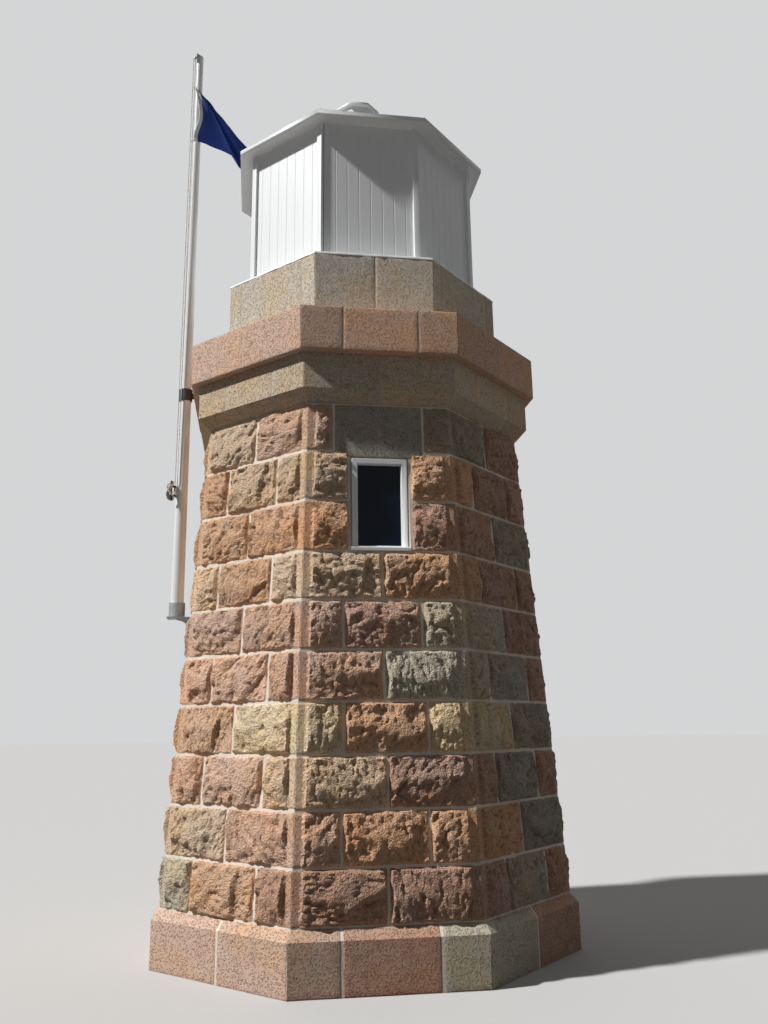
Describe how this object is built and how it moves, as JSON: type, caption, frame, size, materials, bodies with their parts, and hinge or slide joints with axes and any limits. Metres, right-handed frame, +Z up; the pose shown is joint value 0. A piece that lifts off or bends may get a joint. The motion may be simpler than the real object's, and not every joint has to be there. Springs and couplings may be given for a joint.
{
  "type": "lighthouse",
  "caption": "Small octagonal harbour light: battered rock-faced stone tower, splayed cornice, blind white boarded lantern, and a flagpole with a limp blue flag on one side",
  "frame": {"origin": "middle of the plinth's underside, on the ground", "axes": "+Z up along the tower; the front face, with the window, faces -Y; the flagpole stands off the left face, towards -X"},
  "size_m": [2.9545, 2.9, 7.402],
  "materials": {
    "stone": null,
    "pale_stone": "dressed grey-tan granite, finely punched",
    "floor_boards": "bare softwood boards",
    "white_paint": "boarding and joinery under white satin paint",
    "roof_paint": "sheet metal under white paint",
    "window_glass": "clear glass, dark room behind",
    "pole_paint": "white glass-fibre pole, satin",
    "galvanised": "hot-dip galvanised steel, dull grey",
    "dark_metal": "dark painted iron",
    "rope": "braided pale cord",
    "flag_cloth": "plain deep blue woven polyester"
  },
  "bodies": {
    "root": {"plinth": "stone", "ground_floor": "pale_stone", "door_threshold": "pale_stone", "front_wall": "stone", "window_jamb_left": "stone", "window_jamb_right": "stone", "window_lintel": "pale_stone", "front_right_wall": "stone", "right_wall": "stone", "back_right_wall": "stone", "back_wall": "stone", "door_lintel": "pale_stone", "door_jamb_left": "stone", "door_jamb_right": "stone", "back_left_wall": "stone", "left_wall": "stone", "front_left_wall": "stone", "window_frame": "white_paint", "window_glass": "window_glass", "door_frame": "white_paint", "door_leaf": "white_paint", "door_handle": "dark_metal", "cornice": "pale_stone", "parapet_band": "stone", "lantern_base": "pale_stone", "lantern_floor": "floor_boards", "lantern_sill": "white_paint", "lantern_boarding": "white_paint", "corner_boards": "white_paint", "soffit": "white_paint", "eaves_board": "white_paint", "lantern_roof": "roof_paint", "hip_rolls": "roof_paint", "vent_drum": "roof_paint", "vent_lid": "roof_paint", "flagpole": "pole_paint", "pole_truck": "galvanised", "pole_collar": "galvanised", "pole_bracket": "galvanised", "pole_clamp": "dark_metal", "halyard": "rope", "halyard_cleat": "dark_metal", "flag": "flag_cloth"}
  },
  "joints": []
}
